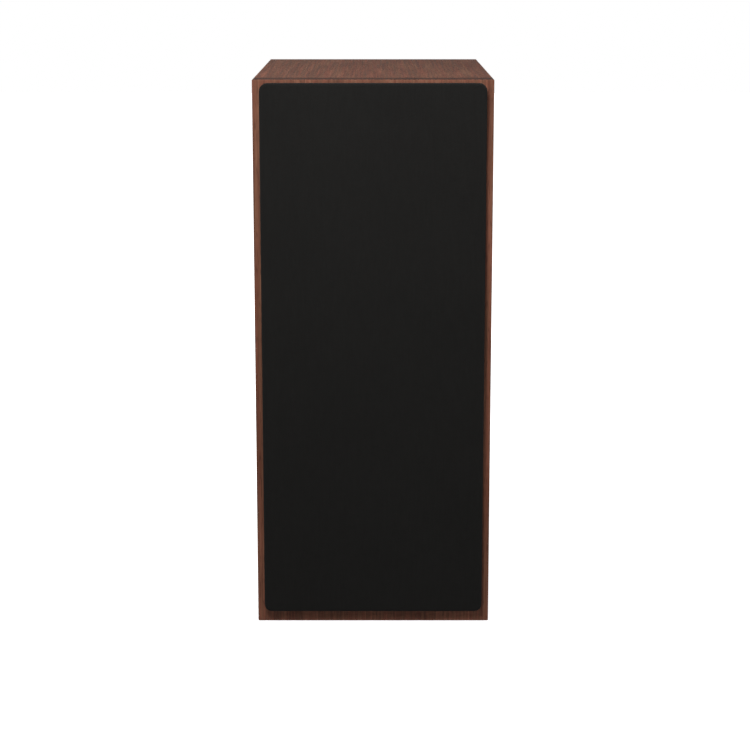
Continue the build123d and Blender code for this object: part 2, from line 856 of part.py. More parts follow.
with BuildPart() as board_supports:
    with BuildSketch(Plane((0, board_y, panel_thickness))):
        with GridLocations(*support_grid, 2, 2):
            Circle(support_radius)
    extrude(amount=support_height)
    with BuildSketch(board_centre):
        with GridLocations(*support_grid, 2, 2):
            Circle(support_stem_radius)
    extrude(amount=board_thickness)
    with BuildSketch(Plane((0, board_y, board_top_z))):
        with GridLocations(*support_grid, 2, 2):
            Circle(support_head_radius)
    extrude(amount=support_head_height)
write(board_supports, "board_supports")

coil_spots = [(-2.0, -31.0), (30.0, 9.0)]
with BuildPart() as crossover_coils:
    with BuildSketch(Plane((0, board_y, parts_z))):
        with Locations(*coil_spots):
            Circle(coil_outer_radius)
            Circle(coil_inner_radius, mode=Mode.SUBTRACT)
    extrude(amount=coil_height)
write(crossover_coils, "crossover_coils")

capacitor_spots = [-48.0, -28.0]
with BuildPart() as crossover_capacitors:
    capacitor_z = parts_z + capacitor_radius
    with BuildSketch(Plane.XZ.offset(-(board_y - 4.0))):
        with Locations(*[(x, capacitor_z) for x in capacitor_spots]):
            Circle(capacitor_radius)
    extrude(amount=-capacitor_length)
write(crossover_capacitors, "crossover_capacitors")

resistor_spots = [(-9.0, 12.0), (53.0, -30.0)]
with BuildPart() as crossover_resistors:
    with BuildSketch(Plane((0, board_y, parts_z))):
        with Locations(*resistor_spots):
            Rectangle(resistor_side, resistor_length)
    extrude(amount=resistor_side)
write(crossover_resistors, "crossover_resistors")

# ---- Terminal strips, tags and leads: each driver's pair runs back, then down to the board ----
tag_radius = woofer_magnet_radius + lead_magnet_gap + lead_radius
tag_strip_thickness = tag_radius - tag_thickness / 2 - basket_rear_radius - glue_gap
woofer_tag_depth = spider_ledge_depth - basket_wall
tag_sides = [
    (woofer_z["upper"], 1, basket_rear_radius, woofer_tag_depth, woofer_lead_y),
    (tweeter_z, -1, chamber_radius, tweeter_depth + glue_gap, tweeter_lead_y),
    (woofer_z["lower"], -1, basket_rear_radius, woofer_tag_depth, woofer_lead_y),
]
with BuildPart() as tag_strips:
    for driver_z, side, seat_radius, start_depth, lead_y in tag_sides:
        strip_x = side * (seat_radius + glue_gap + tag_strip_thickness / 2)
        strip_y = front_y + start_depth + tag_strip_length / 2
        with BuildSketch(Plane((strip_x, strip_y, driver_z - tag_strip_width / 2))):
            Rectangle(tag_strip_thickness, tag_strip_length)
        extrude(amount=tag_strip_width)
write(tag_strips, "tag_strips")

lead_routes = []
with BuildPart() as driver_tags:
    for driver_z, side, seat_radius, start_depth, lead_y in tag_sides:
        blade_x = side * (seat_radius + glue_gap + tag_strip_thickness + tag_thickness / 2)
        blade_y = front_y + start_depth + tag_setback + tag_length / 2
        for half in (-1, 1):
            blade_z = driver_z + half * tag_pitch / 2
            with BuildSketch(Plane((blade_x, blade_y, blade_z - tag_width / 2))):
                Rectangle(tag_thickness, tag_length)
            extrude(amount=tag_width)
            turn_y = board_y + lead_y + lead_half_spacing * half
            start = (blade_x, blade_y + tag_length / 2 + lead_seat_gap, blade_z)
            lead_routes.append((start, (blade_x, turn_y, blade_z), (blade_x, turn_y, parts_z)))
write(driver_tags, "driver_tags")

input_turn_y = board_back_y - input_lead_inset
input_routes = []
for x in post_x.values():
    start = (x, stud_tail_y - lead_seat_gap, terminal_height)
    input_routes.append((start, (x, input_turn_y, terminal_height), (x, input_turn_y, parts_z)))


def insulated_leads(routes):
    """Round leads, each along two straight runs joined by one wide arc."""
    with BuildPart() as leads:
        for start, corner, end in routes:
            back_run = abs(corner[1] - start[1])
            drop_run = abs(end[2] - corner[2])
            with BuildLine():
                FilletPolyline(start, corner, end, radius=lead_bend_share * min(back_run, drop_run))
            with BuildSketch(Plane(origin=start, z_dir=(0, corner[1] - start[1], 0))):
                Circle(lead_radius)
            sweep()
    return leads


write(insulated_leads(lead_routes), "driver_leads")
write(insulated_leads(input_routes), "input_leads")

# ---- Screws: one size holds the drivers and the terminal cup ----
with BuildPart() as one_screw:
    with BuildSketch(Plane.XZ):
        with BuildLine():
            Polyline(
                (0, 0),
                (screw_head_radius, 0),
                (screw_shank_radius, -screw_head_height),
                (screw_shank_radius, -(screw_length - screw_tip)),
                (0, -screw_length),
                close=True,
            )
        make_face()
    revolve(axis=Axis.Z)
    with BuildSketch(Plane.XY):
        RegularPolygon(screw_socket_radius, 6)
    extrude(amount=-screw_socket_depth, mode=Mode.SUBTRACT)

screw_seats = []
for driver_z, rebate_radius, rebate_depth, hole_radius, screw_circle in driver_cutouts:
    for number in range(screws_per_driver):
        angle = radians(45 + 360 / screws_per_driver * number)
        seat = (screw_circle * cos(angle), front_y, driver_z + screw_circle * sin(angle))
        screw_seats.append(Plane(origin=seat, z_dir=(0, -1, 0)))
for side in (-1, 1):
    for rise in (-1, 1):
        seat = (side * cup_screw_x, cup_outer_y, terminal_height + rise * cup_screw_z)
        screw_seats.append(Plane(origin=seat, z_dir=(0, 1, 0)))
with BuildPart() as mounting_screws:
    with Locations(*screw_seats):
        add(one_screw.part)
write(mounting_screws, "mounting_screws")

# ---- Grille: cloth on a frame, held by magnets behind the baffle's face ----
magnet_grid = (2 * grille_magnet_x, grille_magnet_rise)
with BuildPart() as grille_frame:
    with BuildSketch(front_plane(grille_z, frame_back_y)):
        RectangleRounded(frame_width, frame_height, grille_corner - cloth_thickness)
        RectangleRounded(
            frame_width - 2 * frame_bar,
            frame_height - 2 * frame_bar,
            grille_corner,
            mode=Mode.SUBTRACT,
        )
    extrude(amount=frame_thickness)
    with BuildSketch(front_plane(grille_z, frame_back_y)):
        with GridLocations(*magnet_grid, 2, 3):
            Circle(grille_magnet_radius + magnet_clearance)
    extrude(amount=grille_magnet_thickness + magnet_clearance, mode=Mode.SUBTRACT)
write(grille_frame, "grille_frame")

with BuildPart() as grille_cloth:
    with BuildSketch(front_plane(grille_z, frame_front_y)):
        RectangleRounded(grille_width, grille_height, grille_corner)
    extrude(amount=cloth_thickness)
write(grille_cloth, "grille_cloth")

with BuildPart() as grille_magnets:
    with BuildSketch(front_plane(grille_z, frame_back_y)):
        with GridLocations(*magnet_grid, 2, 3):
            Circle(grille_magnet_radius)
    extrude(amount=grille_magnet_thickness)
write(grille_magnets, "grille_magnets")

with BuildPart() as baffle_magnets:
    with BuildSketch(front_plane(grille_z, front_y + magnet_cover)):
        with GridLocations(*magnet_grid, 2, 3):
            Circle(grille_magnet_radius)
    extrude(amount=-grille_magnet_thickness)
write(baffle_magnets, "baffle_magnets")
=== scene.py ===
import bmesh
import bpy
from math import asin, atan2, copysign, cos, exp, hypot, pi, radians, sin, tau
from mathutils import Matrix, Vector, noise


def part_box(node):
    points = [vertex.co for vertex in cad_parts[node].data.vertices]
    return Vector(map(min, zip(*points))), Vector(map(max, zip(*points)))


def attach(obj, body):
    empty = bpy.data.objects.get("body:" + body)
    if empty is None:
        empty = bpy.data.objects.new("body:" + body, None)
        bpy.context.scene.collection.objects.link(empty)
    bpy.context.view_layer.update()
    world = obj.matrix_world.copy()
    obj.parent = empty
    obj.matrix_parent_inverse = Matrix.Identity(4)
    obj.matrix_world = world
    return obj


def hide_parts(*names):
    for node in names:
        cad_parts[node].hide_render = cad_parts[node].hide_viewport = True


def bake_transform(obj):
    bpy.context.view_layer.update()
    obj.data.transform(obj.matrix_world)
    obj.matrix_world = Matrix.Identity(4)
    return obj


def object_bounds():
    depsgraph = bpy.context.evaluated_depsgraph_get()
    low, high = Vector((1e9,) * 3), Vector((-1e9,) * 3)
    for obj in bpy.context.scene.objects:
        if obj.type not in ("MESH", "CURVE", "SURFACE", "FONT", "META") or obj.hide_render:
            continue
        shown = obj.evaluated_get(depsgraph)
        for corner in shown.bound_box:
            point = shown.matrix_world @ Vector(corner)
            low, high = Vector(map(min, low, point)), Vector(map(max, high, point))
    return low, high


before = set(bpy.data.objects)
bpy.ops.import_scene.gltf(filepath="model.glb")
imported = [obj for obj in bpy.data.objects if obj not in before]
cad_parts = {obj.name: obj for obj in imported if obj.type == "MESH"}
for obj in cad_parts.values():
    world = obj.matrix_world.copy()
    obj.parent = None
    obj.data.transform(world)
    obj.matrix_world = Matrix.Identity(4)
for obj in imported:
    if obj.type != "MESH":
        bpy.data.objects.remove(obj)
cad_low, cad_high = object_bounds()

scene = bpy.context.scene


# ---- Studio: a pale floor and soft light round a cabinet that stands on its underside ----
# The floor is one big sheet of matt white board. The camera sees it with a painted glow added, weaker near
# the cabinet and stronger farther out, that washes its shadows out to white; light bouncing off it sees only
# plain grey board.
# Four soft boxes light the cabinet: the key above the left front, and one each above its left edge,
# to its right and behind it.
def put(tree, kind, inputs, **settings):
    """A shader node with its inputs set, each to a plain value or to another node's output."""
    made = tree.nodes.new(kind)
    for name, value in settings.items():
        setattr(made, name, value)
    for name, value in inputs.items():
        if isinstance(value, bpy.types.NodeSocket):
            tree.links.new(value, made.inputs[name])
        else:
            made.inputs[name].default_value = value
    return made


def new_finish(name, **sockets):
    """A material and its shader, with the sockets that are even all over set on the shader itself."""
    material = bpy.data.materials.new(name)
    material.use_nodes = True
    tree = material.node_tree
    shader = next(node for node in tree.nodes if node.type == "BSDF_PRINCIPLED")
    for name, value in sockets.items():
        shader.inputs[name.replace("_", " ")].default_value = value
    return material, tree, shader


floor_paint, tree, shader = new_finish("floor_paint", Roughness=0.9, Specular_IOR_Level=0.0)
cloud = put(tree, "ShaderNodeTexNoise", {"Scale": 3.0, "Detail": 4.0})
board_greys = {6: (0.80, 0.80, 0.80, 1), 7: (0.84, 0.84, 0.84, 1)}
floor_tone = put(tree, "ShaderNodeMix", {0: cloud.outputs["Fac"], **board_greys}, data_type="RGBA")
tree.links.new(floor_tone.outputs[2], shader.inputs["Base Color"])
own = put(tree, "ShaderNodeTexCoord", {}).outputs["Object"]
from_middle = put(tree, "ShaderNodeVectorMath", {0: own}, operation="LENGTH").outputs["Value"]
# Painted glow on the floor, seen only by the camera: weakest round the cabinet's foot and strongest farther
# out, where it hides the cast shadows.
glow_reach = {"From Min": 0.16, "From Max": 0.42, "To Min": 0.88, "To Max": 1.2}
painted_glow_strength = put(tree, "ShaderNodeMapRange", {"Value": from_middle, **glow_reach}).outputs["Result"]
painted_floor_glow = put(tree, "ShaderNodeEmission", {"Color": (1, 1, 1, 1), "Strength": painted_glow_strength})
seen_floor = put(tree, "ShaderNodeAddShader", {0: shader.outputs[0], 1: painted_floor_glow.outputs[0]})
bounce = put(tree, "ShaderNodeBsdfDiffuse", {"Color": (0.62, 0.62, 0.62, 1)})
seen_directly = put(tree, "ShaderNodeLightPath", {}).outputs["Is Camera Ray"]
both = put(tree, "ShaderNodeMixShader", {0: seen_directly, 1: bounce.outputs[0], 2: seen_floor.outputs[0]})
tree.links.new(both.outputs[0], tree.nodes["Material Output"].inputs["Surface"])

floor_reach = 6.0
floor_gap = 0.0004
floor_mesh = bpy.data.meshes.new("floor")
grid = bmesh.new()
bmesh.ops.create_grid(grid, x_segments=4, y_segments=4, size=floor_reach)
grid.to_mesh(floor_mesh)
grid.free()
floor = bpy.data.objects.new("floor", floor_mesh)
floor.location.z = cad_low.z - floor_gap
floor.data.materials.append(floor_paint)
scene.collection.objects.link(floor)

world = bpy.data.worlds.new("white_studio")
scene.world = world
world.use_nodes = True
tree = world.node_tree
sky = tree.nodes["Background"]
sky.inputs["Color"].default_value = (1, 1, 1, 1)
sky.inputs["Strength"].default_value = 0.235
backdrop = put(tree, "ShaderNodeBackground", {"Color": (1, 1, 1, 1), "Strength": 1.0})
seen_directly = put(tree, "ShaderNodeLightPath", {}).outputs["Is Camera Ray"]
both = put(tree, "ShaderNodeMixShader", {0: seen_directly, 1: sky.outputs[0], 2: backdrop.outputs[0]})
tree.links.new(both.outputs[0], tree.nodes["World Output"].inputs["Surface"])

soft_boxes = [
    ("key_light", (-0.16, -1.05, 1.14), (-0.04, -0.145, 0.62), 0.5, 80, 4.4),
    ("top_light", (-0.42, 0.05, 0.80), (-0.12, 0.0, 0.44), 0.3, 120, 0.22),
    ("right_light", (1.7, -0.3, 0.42), (0.1, 0.0, 0.22), 0.9, 150, 5.0),
    ("back_light", (-0.9, 1.6, 0.42), (0, 0.1, 0.22), 1.0, 150, 7.0),
]
for name, place, aim, size, beam, power in soft_boxes:
    lamp = bpy.data.lights.new(name, "AREA")
    lamp.shape = "DISK"
    lamp.size = size
    lamp.spread = radians(beam)
    lamp.energy = power
    box = bpy.data.objects.new(name, lamp)
    box.location = place
    box.rotation_euler = (Vector(aim) - Vector(place)).to_track_quat("-Z", "Y").to_euler()
    scene.collection.objects.link(box)

scene.view_settings.view_transform = "Standard"
scene.view_settings.look = "None"

eye_distance = 1.6
eye_height = 0.5462
aim_height = 0.2077
eye_side = 0.0015
front_face_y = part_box("front_baffle")[0].y
lens = bpy.data.cameras.new("camera")
lens.lens = 97.35
lens.sensor_width = 36.0
lens.clip_start = 0.05
lens.clip_end = 60.0
camera = bpy.data.objects.new("camera", lens)
camera.location = (eye_side, front_face_y - eye_distance, eye_height)
sight = Vector((eye_side, front_face_y, aim_height)) - camera.location
camera.rotation_euler = sight.to_track_quat("-Z", "Y").to_euler()
scene.collection.objects.link(camera)
scene.camera = camera


# ---- Cabinet: six boards faced with dark, reddish walnut veneer under a satin lacquer ----
# The veneer's grain runs up the front, sides and back, and from front to back across the top. It is
# glued to boards of fibreboard, whose inside faces are left bare.
def placed(tree, stretch=(1, 1, 1), own=None):
    """The piece's own coordinates, stretched along each axis."""
    own = own or put(tree, "ShaderNodeTexCoord", {}).outputs["Object"]
    return put(tree, "ShaderNodeMapping", {"Vector": own, "Scale": stretch}).outputs["Vector"]


def noise_at(tree, place, scale, detail=2.0, roughness=0.5, distortion=0.0):
    """A cloudy pattern, from 0 to 1."""
    return put(tree, "ShaderNodeTexNoise", {"Vector": place, "Scale": scale, "Detail": detail,
                                            "Roughness": roughness, "Distortion": distortion}).outputs["Fac"]


def ramp(tree, value, *stops):
    """Colours or greys laid along a value, from (place, colour) stops."""
    made = put(tree, "ShaderNodeValToRGB", {"Fac": value})
    elements = made.color_ramp.elements
    while len(elements) < len(stops):
        elements.new(0.5)
    for element, (place, colour) in zip(elements, stops):
        element.position = place
        element.color = (*colour, 1) if isinstance(colour, tuple) else (colour, colour, colour, 1)
    return made.outputs["Color"]


def tints(tone, *shares):
    """A colour made darker or lighter by each share."""
    return [tuple(value * share for value in tone) for share in shares]


def mixed(tree, share, under, over, way="MIX"):
    """Two colours mixed by a share."""
    inputs = {0: share, 6: under, 7: over}
    return put(tree, "ShaderNodeMix", inputs, data_type="RGBA", blend_type=way).outputs[2]


def sums(tree, operation, a, b=0.0, c=0.0):
    """One step of arithmetic on plain values or outputs."""
    return put(tree, "ShaderNodeMath", {0: a, 1: b, 2: c}, operation=operation).outputs[0]


def ranged(tree, value, low, high):
    """A 0 to 1 value spread between low and high."""
    return put(tree, "ShaderNodeMapRange", {"Value": value, "To Min": low, "To Max": high}).outputs["Result"]


def paint(tree, shader, colour, roughness=None):
    """Links a pattern's colour, and its roughness if that varies, to the shader."""
    tree.links.new(colour, shader.inputs["Base Color"])
    if roughness:
        tree.links.new(roughness, shader.inputs["Roughness"])


def relief(tree, shader, height, depth, strength=1.0):
    """Raises the surface by a pattern, depth metres from its lowest to its highest."""
    bump = put(tree, "ShaderNodeBump", {"Height": height, "Distance": depth, "Strength": strength})
    tree.links.new(bump.outputs["Normal"], shader.inputs["Normal"])


def facing(tree, direction, least):
    """1 where the piece's surface faces a direction by at least that cosine, and 0 elsewhere."""
    own = put(tree, "ShaderNodeTexCoord", {}).outputs["Normal"]
    dot = put(tree, "ShaderNodeVectorMath", {0: own, 1: direction}, operation="DOT_PRODUCT").outputs["Value"]
    return sums(tree, "GREATER_THAN", dot, least)


def along(grain, down, across):
    """A stretch that is gentle down the grain's axis and tight across it."""
    return tuple(down if axis == grain else across for axis in "xyz")


def fibreboard_tone(tree):
    """Bare fibreboard: light brown, with short matted fibres."""
    fibres = noise_at(tree, placed(tree), 420.0, 5.0, 0.7)
    return ramp(tree, fibres, (0.3, (0.27, 0.19, 0.12)), (0.7, (0.40, 0.29, 0.19)))


def opened_out(tree, value, low, high):
    """A cloudy pattern with its middle range, low to high, pulled out to the full 0 to 1."""
    inputs = {"Value": value, "From Min": low, "From Max": high}
    return put(tree, "ShaderNodeMapRange", inputs).outputs["Result"]


def edged(tree, grain):
    """The board's own coordinates, with y and z swapped on the edges that the grain would meet end on."""
    own = put(tree, "ShaderNodeTexCoord", {}).outputs["Object"]
    part = put(tree, "ShaderNodeSeparateXYZ", {0: own}).outputs
    turned = put(tree, "ShaderNodeCombineXYZ", {0: part["X"], 1: part["Z"], 2: part["Y"]}).outputs[0]
    ahead, behind = [tuple(sign * (axis == grain) for axis in "xyz") for sign in (1, -1)]
    end_on = sums(tree, "MAXIMUM", facing(tree, ahead, 0.7), facing(tree, behind, 0.7))
    return put(tree, "ShaderNodeMix", {0: end_on, 4: own, 5: turned}, data_type="VECTOR").outputs[1]


def veneer(name, grain, inward, end_edge=None):
    """Lacquered walnut with its grain along one axis, bare on the side that faces inward."""
    material, tree, shader = new_finish(name, Specular_IOR_Level=0.2)
    board = edged(tree, grain)

    def figure(down, across, *noise_settings):
        """A pattern drawn out down the grain, at noise_at's scale, detail, roughness and distortion."""
        return noise_at(tree, placed(tree, along(grain, down, across), board), *noise_settings)

    bands = opened_out(tree, figure(1.1, 9.0, 5.0, 3.0, 0.5, 0.9), 0.34, 0.66)
    streaks = opened_out(tree, figure(1.6, 105.0, 5.0, 4.0, 0.62, 0.25), 0.34, 0.66)
    reds = opened_out(tree, figure(1.3, 66.0, 5.0, 3.0, 0.6, 0.3), 0.40, 0.60)
    fibres = figure(12.0, 420.0, 5.0, 3.0, 0.6)
    pores = figure(26.0, 300.0, 4.0, 2.0, 0.5)
    drift = noise_at(tree, placed(tree), 4.0, 2.0)
    tone = sums(tree, "ADD", sums(tree, "MULTIPLY", bands, 0.35), sums(tree, "MULTIPLY", streaks, 0.65))
    wood = ramp(tree, tone, (0.08, (0.118, 0.0450, 0.0270)), (0.38, (0.166, 0.0640, 0.0375)),
                (0.64, (0.208, 0.0825, 0.0490)), (0.94, (0.270, 0.1170, 0.0720)))
    red_to_gold = ramp(tree, reds, (0.0, (1.0, 0.84, 0.82)), (1.0, (0.93, 1.0, 0.94)))
    ticks = ramp(tree, pores, (0.34, 0.0), (0.44, 1.0))
    shades = [
        (0.8, red_to_gold),
        (0.6, ramp(tree, fibres, (0.3, 0.5), (0.7, 1.0))),
        (0.55, ramp(tree, ticks, (0.0, 0.3), (1.0, 1.0))),
        (0.35, ramp(tree, drift, (0.35, 0.72), (0.65, 1.0))),
    ]
    if end_edge:
        on_edge = sums(tree, "MULTIPLY", facing(tree, end_edge, 0.7), 0.85)
        shades.append((on_edge, (0.30, 0.26, 0.25, 1)))
    for share, shade in shades:
        wood = mixed(tree, share, wood, shade, "MULTIPLY")
    wood = mixed(tree, facing(tree, inward, 0.5), wood, fibreboard_tone(tree))
    paint(tree, shader, wood, ranged(tree, streaks, 0.46, 0.62))
    grain_height = sums(tree, "ADD", sums(tree, "MULTIPLY", ticks, 0.7), fibres)
    relief(tree, shader, grain_height, 0.00014, 0.7)
    return material


def dress(material, *names):
    """Gives CAD pieces their finish."""
    for name in names:
        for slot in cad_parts[name].material_slots:
            slot.material = material


dress(veneer("front_veneer", "z", inward=(0, 1, 0), end_edge=(0, 0, 1)), "front_baffle")
for panel, grain, inward in [
    ("left_side_panel", "z", (1, 0, 0)),
    ("right_side_panel", "z", (-1, 0, 0)),
    ("top_panel", "y", (0, 0, -1)),
    ("bottom_panel", "y", (0, 0, 1)),
    ("rear_panel", "z", (0, -1, 0)),
]:
    dress(veneer(f"{panel}_veneer", grain, inward), panel)


# ---- Window brace: a shelf of bare fibreboard glued across the cabinet, with a cut-out window ----
# It is sawn, so its faces show matted fibres. Every face but its top is painted a little darker: on the sawn
# edges that is partly their own colour, on the underside it is painted shade.
board_finish, tree, shader = new_finish("bare_fibreboard", Roughness=0.85, Specular_IOR_Level=0.2)
# Full tone on the top face and darker elsewhere: partly the sawn edges' own colour, partly painted shade on
# the underside.
edges = mixed(tree, facing(tree, (0, 0, 1), 0.5), (0.75, 0.72, 0.70, 1), (1.0, 1.0, 1.0, 1))
paint(tree, shader, mixed(tree, 1.0, fibreboard_tone(tree), edges, "MULTIPLY"))
relief(tree, shader, noise_at(tree, placed(tree), 700.0, 4.0, 0.7), 0.0002)
dress(board_finish, "window_brace")


# ---- Damping pads: thick grey wool felt stapled to the side walls, above and below the brace ----
# Each is a soft slab with rounded edges and a slightly uneven face, cut to fit between the boards.
def solids_of(name):
    """The lowest and highest corner of each separate solid of a CAD piece."""
    loose = bmesh.new()
    loose.from_mesh(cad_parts[name].data)
    bmesh.ops.remove_doubles(loose, verts=loose.verts, dist=1e-6)
    left, boxes = set(loose.verts), []
    while left:
        found, reached = [], [left.pop()]
        while reached:
            vert = reached.pop()
            found.append(vert.co.copy())
            for edge in vert.link_edges:
                other = edge.other_vert(vert)
                if other in left:
                    left.discard(other)
                    reached.append(other)
        low, high = [Vector([pick(p[axis] for p in found) for axis in range(3)]) for pick in (min, max)]
        boxes.append((low, high))
    loose.free()
    return sorted(boxes, key=lambda corners: tuple(round(v, 5) for v in corners[0]))


def add_piece(name, mesh, material, body, sharp_angle=40):
    """A finished mesh as a smooth-shaded piece that rides on a body."""
    mesh.polygons.foreach_set("use_smooth", [True] * len(mesh.polygons))
    mesh.set_sharp_from_angle(angle=radians(sharp_angle))
    mesh.materials.append(material)
    piece = bpy.data.objects.new(name, mesh)
    scene.collection.objects.link(piece)
    if body:
        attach(piece, body)
    return piece


felt, tree, shader = new_finish("wool_felt", Roughness=0.95, Specular_IOR_Level=0.1, Sheen_Weight=0.4)
hairs = noise_at(tree, placed(tree), 260.0, 6.0, 0.75, 1.5)
clumps = noise_at(tree, placed(tree), 40.0, 3.0)
grey = ramp(tree, hairs, (0.3, (0.15, 0.15, 0.165)), (0.7, (0.33, 0.33, 0.35)))
clumping = ramp(tree, clumps, (0.3, 0.7), (0.7, 1.0))
paint(tree, shader, mixed(tree, 0.4, grey, clumping, "MULTIPLY"))
relief(tree, shader, hairs, 0.0008)

pads = bmesh.new()
pad_round = 0.0022
pad_swell = 0.0007
pad_swell_scale = 40
pad_patch = 0.02
halvings = 5
least_flat_area = 1e-3
for low, high in solids_of("damping_pads"):
    core = bmesh.ops.create_cube(pads, size=1.0)["verts"]
    size = high - low
    for vert in core:
        vert.co = Vector([(low[i] + high[i]) / 2 + vert.co[i] * size[i] for i in range(3)])
    faces = list({face for vert in core for face in vert.link_faces})
    rims = list({edge for face in faces for edge in face.edges})
    bmesh.ops.bevel(pads, geom=rims, offset=pad_round, segments=3, affect="EDGES", profile=0.5)
bmesh.ops.triangulate(pads, faces=[face for face in pads.faces if face.calc_area() > least_flat_area])
for halving in range(halvings):
    long_edges = [edge for edge in pads.edges if edge.calc_length() > pad_patch]
    bmesh.ops.subdivide_edges(pads, edges=long_edges, cuts=1)
    bmesh.ops.triangulate(pads, faces=[face for face in pads.faces if len(face.verts) > 3])
for vert in pads.verts:
    inwards = -1 if vert.co.x > 0 else 1
    vert.co.x += inwards * pad_swell * (noise.noise(vert.co * pad_swell_scale) - 1.0) * 0.5
pad_mesh = bpy.data.meshes.new("felt_pads")
pads.to_mesh(pad_mesh)
pads.free()
felt_pads = add_piece("felt_pads", pad_mesh, felt, "cabinet")
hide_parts("damping_pads")


# ---- Woofer baskets and their gaskets: cast alloy, powder-coated a fine matt black ----
# Each is screwed into its rebate on a foam gasket. Three ribs join its front ring to the magnet.
def cast_finish(name, tone, roughness, grain, depth):
    """A fine-grained matt coating."""
    material, tree, shader = new_finish(name, Specular_IOR_Level=0.4)
    speckle = noise_at(tree, placed(tree), grain, 3.0, 0.6)
    drift = noise_at(tree, placed(tree), 30.0, 3.0)
    dark, light = tints(tone, 0.75, 1.2)
    colour = ramp(tree, speckle, (0.3, dark), (0.7, light))
    paint(tree, shader, colour, ranged(tree, drift, roughness - 0.06, roughness + 0.08))
    relief(tree, shader, speckle, depth)
    return material


powder_coat = cast_finish("powder_coat", (0.022, 0.022, 0.023), 0.5, 900.0, 0.00012)
dress(powder_coat, "upper_woofer_basket", "lower_woofer_basket")
foam = cast_finish("cell_foam", (0.03, 0.03, 0.03), 0.9, 1400.0, 0.0004)
dress(foam, "driver_gaskets")


# ---- Woofer surrounds: a half roll of soft black rubber round each cone ----
# Its inner lip is glued to the cone and its outer lip to the basket, and it rolls as the cone moves.
def turned_mesh(name, outline, centre, steps=144):
    """A ring turned about a front-to-back axis, from a closed outline of (depth behind centre, radius)."""
    ring = bmesh.new()
    loops = []
    for step in range(steps):
        angle = tau * step / steps
        turn = Vector((cos(angle), 0, sin(angle)))
        spoke = [centre + radius * turn + Vector((0, depth, 0)) for depth, radius in outline]
        loops.append([ring.verts.new(place) for place in spoke])
    for step in range(steps):
        here, there = loops[step], loops[(step + 1) % steps]
        for k in range(len(outline)):
            after = (k + 1) % len(outline)
            ring.faces.new((here[k], here[after], there[after], there[k]))
    bmesh.ops.recalc_face_normals(ring, faces=ring.faces)
    mesh = bpy.data.meshes.new(name)
    ring.to_mesh(mesh)
    ring.free()
    return mesh


def follow_by_radius(piece):
    """Moves the piece's placement into its mesh; it is tied to no body."""
    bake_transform(piece)


def roll_outline(seat, skin, inner_edge, outer_edge, inner_lip, outer_lip, arc_steps=20):
    """A half roll that stands forward of its two glued lips."""
    middle = (inner_edge + outer_edge) / 2
    radius = (outer_edge - inner_edge) / 2
    fillet = 0.45 * skin
    nick = 0.1 * skin
    start = asin(1.3 * skin / radius)
    front = [(seat - skin, inner_lip), (seat - skin, inner_edge - fillet)]
    front.append((seat - skin - nick, inner_edge - nick))
    for step in range(arc_steps + 1):
        angle = start + (pi - 2 * start) * step / arc_steps
        front.append((seat - radius * sin(angle), middle - radius * cos(angle)))
    front.append((seat - skin - nick, outer_edge + nick))
    front += [(seat - skin, outer_edge + fillet), (seat - skin, outer_lip)]
    back = [(seat, outer_lip)]
    for step in range(arc_steps + 1):
        angle = pi - pi * step / arc_steps
        back.append((seat - (radius - skin) * sin(angle), middle - (radius - skin) * cos(angle)))
    back.append((seat, inner_lip))
    return front + back


rubber, tree, shader = new_finish("surround_rubber", Specular_IOR_Level=0.45)
bloom = noise_at(tree, placed(tree), 55.0, 4.0, 0.6)
skin_grain = noise_at(tree, placed(tree), 1300.0, 2.0)
paint(tree, shader, ramp(tree, bloom, (0.3, 0.011), (0.7, 0.021)), ranged(tree, bloom, 0.42, 0.58))
relief(tree, shader, skin_grain, 0.00005)

ledge = 0.0016
rubber_skin = 0.0008
roll_inner = 0.0475
roll_outer = 0.056
lip_inner = 0.0429
lip_clearance = 0.00002
woofers = []
for place in ("upper", "lower"):
    low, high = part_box(f"{place}_woofer_basket")
    centre = Vector(((low.x + high.x) / 2, front_face_y, (low.z + high.z) / 2))
    woofers.append((place, centre))
    lip_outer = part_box(f"{place}_woofer_surround")[1].x - lip_clearance
    outline = roll_outline(ledge, rubber_skin, roll_inner, roll_outer, lip_inner, lip_outer)
    roll_mesh = turned_mesh(f"{place}_rubber_roll", outline, centre)
    roll = add_piece(f"{place}_rubber_roll", roll_mesh, rubber, None, 50)
    follow_by_radius(roll)
    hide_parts(f"{place}_woofer_surround")


# ---- Woofer cones, dust caps and voice coils: one moving part in each woofer ----
# The cone is pressed from black paper pulp, with three shallow rings that stiffen it, and is glued
# to a wound coil on a former. A domed paper cap covers the former's mouth.
def paper_finish(name, tone):
    """Coated paper pulp: flecks, soft blotches and fine fibres."""
    material, tree, shader = new_finish(name, Specular_IOR_Level=0.3)
    pulp = noise_at(tree, placed(tree), 330.0, 6.0, 0.72, 0.8)
    blotch = noise_at(tree, placed(tree), 60.0, 3.0)
    dark, light = tints(tone, 0.55, 1.9)
    flecks = ramp(tree, pulp, (0.28, dark), (0.55, tone), (0.74, light))
    blotched = mixed(tree, 0.4, flecks, ramp(tree, blotch, (0.3, 0.65), (0.7, 1.0)), "MULTIPLY")
    paint(tree, shader, blotched, ranged(tree, pulp, 0.55, 0.8))
    relief(tree, shader, pulp, 0.00035)
    return material


cone_paper = paper_finish("cone_paper", (0.030, 0.030, 0.032))
cap_paper = paper_finish("cap_paper", (0.020, 0.020, 0.021))
neck_radius = 0.01325
neck_depth = 0.0206
paper_skin = 0.001
cap_radius = 0.018
cone_lip = 0.0467
ring_radii = (0.0245, 0.0300, 0.0355)
ring_height = 0.00028
ring_width = 0.0007
cone_bow = 0.0008
cone_steps = 64


def cone_depth_at(radius):
    """Depth of the cone's front face, bowed gently forwards between its cap and its lip."""
    slope = (neck_depth - ledge) / (lip_inner - neck_radius)
    depth = ledge + (lip_inner - radius) * slope
    if radius > cap_radius:
        depth -= cone_bow * sin(pi * (radius - cap_radius) / (lip_inner - cap_radius))
    return depth - sum(ring_height * exp(-(((radius - ring) / ring_width) ** 2)) for ring in ring_radii)


